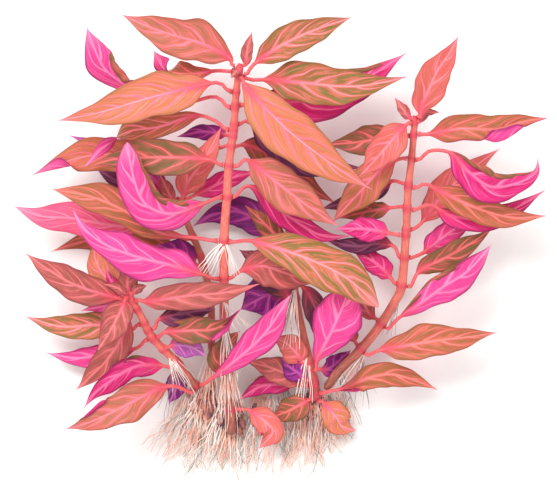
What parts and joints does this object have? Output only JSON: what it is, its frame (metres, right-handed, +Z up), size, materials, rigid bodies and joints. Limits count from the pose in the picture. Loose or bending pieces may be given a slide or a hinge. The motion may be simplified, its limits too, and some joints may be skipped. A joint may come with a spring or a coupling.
{
  "type": "aquarium plant",
  "caption": "Bare-root bunch of an aquarium stem plant lying on its back: leafy stems with pointed salmon-brown leaves, pink veins and magenta undersides, over a tangle of pale roots.",
  "frame": {"origin": "on the table, under the middle of the bunch's bounding box", "axes": "+X to the right across the bunch, +Y towards the shoot tips, +Z up off the table that it lies on"},
  "size_m": [0.214, 0.1892, 0.0547],
  "materials": {
    "leaf_upper_side": "satin",
    "leaf_underside": "satin",
    "stem": "satin",
    "root": "matte"
  },
  "bodies": {
    "root": {"leaf_back_0_left": "leaf_upper_side", "leaf_back_0_up": "leaf_upper_side", "leaf_back_1_left": "leaf_underside", "leaf_back_2_left": "leaf_underside", "leaf_back_3_left": "leaf_upper_side", "leaf_left_0_back": "leaf_upper_side", "leaf_left_0_front": "leaf_upper_side", "leaf_left_0_left": "leaf_upper_side", "leaf_left_0_right": "leaf_upper_side", "leaf_left_1_front": "leaf_upper_side", "leaf_left_1_left": "leaf_upper_side", "leaf_left_1_right": "leaf_underside", "leaf_left_2_left": "leaf_underside", "leaf_left_2_right": "leaf_upper_side", "leaf_left_3_left": "leaf_underside", "leaf_left_4_left": "leaf_upper_side", "leaf_left_4_right": "leaf_underside", "leaf_main_1_left": "leaf_upper_side", "leaf_main_1_right": "leaf_upper_side", "leaf_main_1b_left": "leaf_upper_side", "leaf_main_1b_right": "leaf_upper_side", "leaf_main_2_left": "leaf_upper_side", "leaf_main_2_right": "leaf_upper_side", "leaf_main_3_left": "leaf_underside", "leaf_main_3_right": "leaf_underside", "leaf_main_4_left": "leaf_upper_side", "leaf_main_4_right": "leaf_underside", "leaf_main_5_left": "leaf_upper_side", "leaf_main_6_left": "leaf_upper_side", "leaf_main_6_right": "leaf_upper_side", "leaf_main_7_left": "leaf_underside", "leaf_main_7_right": "leaf_underside", "leaf_main_8_left": "leaf_upper_side", "leaf_main_8_right": "leaf_upper_side", "leaf_main_9_left": "leaf_underside", "leaf_middle_0_right": "leaf_upper_side", "leaf_middle_1_left": "leaf_upper_side", "leaf_middle_1_up": "leaf_underside", "leaf_middle_5_left": "leaf_underside", "leaf_right_0_up": "leaf_upper_side", "leaf_right_1_back": "leaf_upper_side", "leaf_right_1_left": "leaf_upper_side", "leaf_right_1_right": "leaf_upper_side", "leaf_right_2_left": "leaf_upper_side", "leaf_right_2_right": "leaf_underside", "leaf_right_3_right": "leaf_upper_side", "leaf_right_4_right": "leaf_underside", "leaf_right_5_left": "leaf_underside", "leaf_right_5_right": "leaf_upper_side", "leaf_right_6_right": "leaf_underside", "leaf_right_7_left": "leaf_underside", "leaf_right_7_right": "leaf_upper_side", "leaf_right_8_right": "leaf_underside", "leaf_right_9_right": "leaf_upper_side", "root_mass": "root", "stem_back": "stem", "stem_left": "stem", "stem_main": "stem", "stem_middle": "stem", "stem_right": "stem"}
  },
  "joints": []
}
